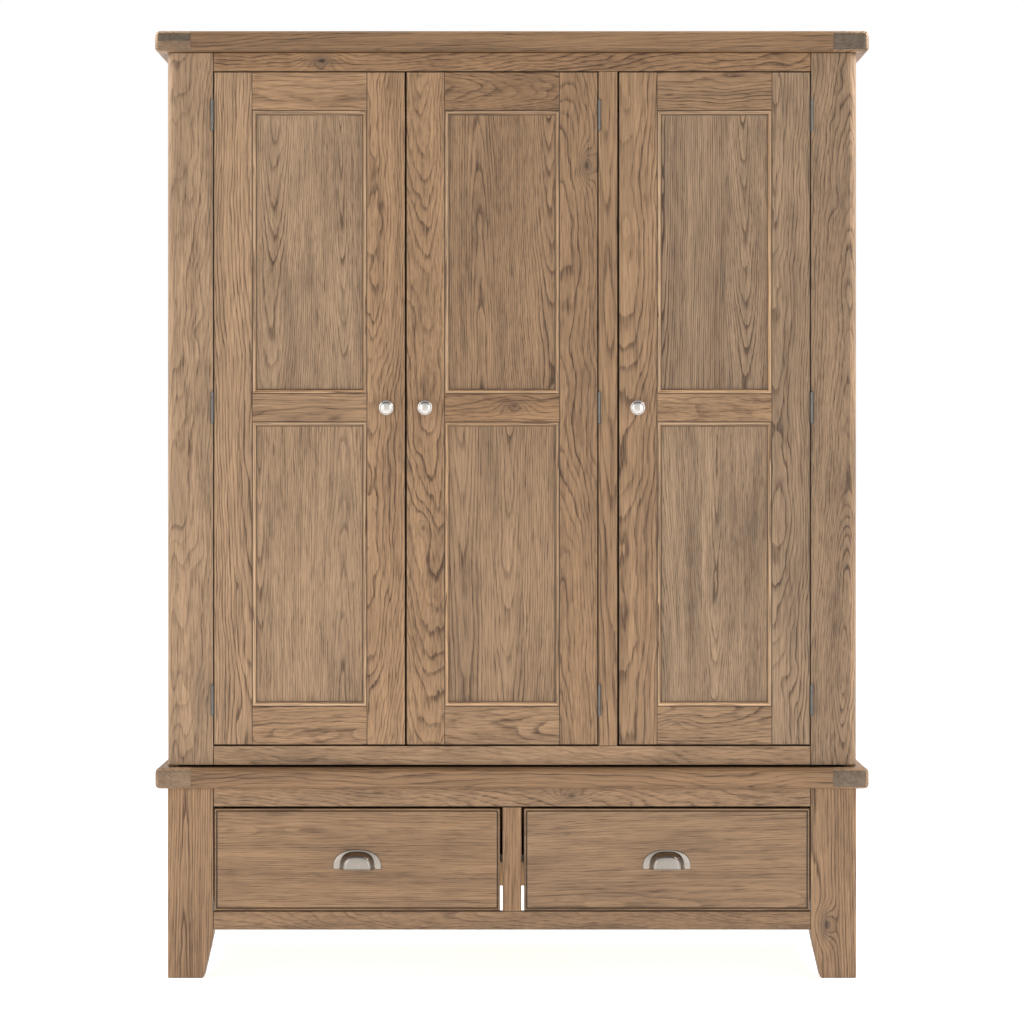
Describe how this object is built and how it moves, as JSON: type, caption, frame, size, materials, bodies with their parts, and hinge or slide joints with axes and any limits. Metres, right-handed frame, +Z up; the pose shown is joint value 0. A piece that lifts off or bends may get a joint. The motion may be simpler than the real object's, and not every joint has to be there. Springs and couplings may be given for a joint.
{
  "type": "wardrobe with doors",
  "caption": "Oak wardrobe: framed doors with recessed panels and knobs over a drawer base on tapered legs; cupboard with a hanging rail.",
  "frame": {"origin": "on the floor, under the middle of the wardrobe", "axes": "+Z up, -Y out of the front, +X to the right seen from the front"},
  "size_m": [1.43, 0.6, 1.9],
  "materials": {
    "oak_frame": "matte oiled oak, grey-brown, open grain",
    "oak_board": "matte oiled oak, grey-brown, open grain, eased edges",
    "oak_panel": "matte oiled oak, grey-brown, open grain, a little lighter",
    "inner_wood": "plain sanded boards",
    "satin_nickel": "satin nickel",
    "hinge_steel": "dull steel",
    "bright_steel": "polished tube"
  },
  "bodies": {
    "carcass": {"base_top_board": "oak_board", "top_board": "oak_board", "left_front_leg": "oak_frame", "left_base_side": "oak_frame", "left_stile": "oak_frame", "left_side_panel": "oak_frame", "right_front_leg": "oak_frame", "right_base_side": "oak_frame", "right_stile": "oak_frame", "right_side_panel": "oak_frame", "base_lower_rail": "oak_frame", "base_upper_rail": "oak_frame", "base_mullion_and_runner": "oak_frame", "top_rail": "oak_frame", "bottom_rail": "oak_frame", "mullion": "oak_frame", "floor_board": "oak_frame", "partition": "oak_frame", "base_back": "inner_wood", "back_panel": "inner_wood", "hanging_rail": "bright_steel", "left_door_lower_hinge": "hinge_steel", "left_door_middle_hinge": "hinge_steel", "left_door_upper_hinge": "hinge_steel", "centre_door_lower_hinge": "hinge_steel", "centre_door_middle_hinge": "hinge_steel", "centre_door_upper_hinge": "hinge_steel", "right_door_lower_hinge": "hinge_steel", "right_door_middle_hinge": "hinge_steel", "right_door_upper_hinge": "hinge_steel"},
    "left_door": {"left_door_hinge_stile": "oak_frame", "left_door_lock_stile": "oak_frame", "left_door_top_rail": "oak_frame", "left_door_middle_rail": "oak_frame", "left_door_bottom_rail": "oak_frame", "left_door_lower_panel": "oak_panel", "left_door_upper_panel": "oak_panel", "left_door_knob": "satin_nickel"},
    "centre_door": {"centre_door_hinge_stile": "oak_frame", "centre_door_lock_stile": "oak_frame", "centre_door_top_rail": "oak_frame", "centre_door_middle_rail": "oak_frame", "centre_door_bottom_rail": "oak_frame", "centre_door_lower_panel": "oak_panel", "centre_door_upper_panel": "oak_panel", "centre_door_knob": "satin_nickel"},
    "right_door": {"right_door_hinge_stile": "oak_frame", "right_door_lock_stile": "oak_frame", "right_door_top_rail": "oak_frame", "right_door_middle_rail": "oak_frame", "right_door_bottom_rail": "oak_frame", "right_door_lower_panel": "oak_panel", "right_door_upper_panel": "oak_panel", "right_door_knob": "satin_nickel"},
    "left_drawer": {"left_drawer_front": "oak_panel", "left_drawer_tray": "inner_wood", "left_drawer_cup_pull": "satin_nickel"},
    "right_drawer": {"right_drawer_front": "oak_panel", "right_drawer_tray": "inner_wood", "right_drawer_cup_pull": "satin_nickel"}
  },
  "joints": [
    {"name": "left_door_hinge", "type": "hinge", "parent": "carcass", "child": "left_door", "pos_m": [-0.6018, -0.2773, 1.14425], "axis": [0, 0, -1], "range_deg": [0, 110]},
    {"name": "centre_door_hinge", "type": "hinge", "parent": "carcass", "child": "centre_door", "pos_m": [0.1753, -0.2773, 1.14425], "axis": [0, 0, 1], "range_deg": [0, 110]},
    {"name": "right_door_hinge", "type": "hinge", "parent": "carcass", "child": "right_door", "pos_m": [0.6018, -0.2773, 1.14425], "axis": [0, 0, 1], "range_deg": [0, 110]},
    {"name": "left_drawer_slide", "type": "slide", "parent": "carcass", "child": "left_drawer", "axis": [0, -1, 0], "range_m": [0, 0.38]},
    {"name": "right_drawer_slide", "type": "slide", "parent": "carcass", "child": "right_drawer", "axis": [0, -1, 0], "range_m": [0, 0.38]}
  ]
}
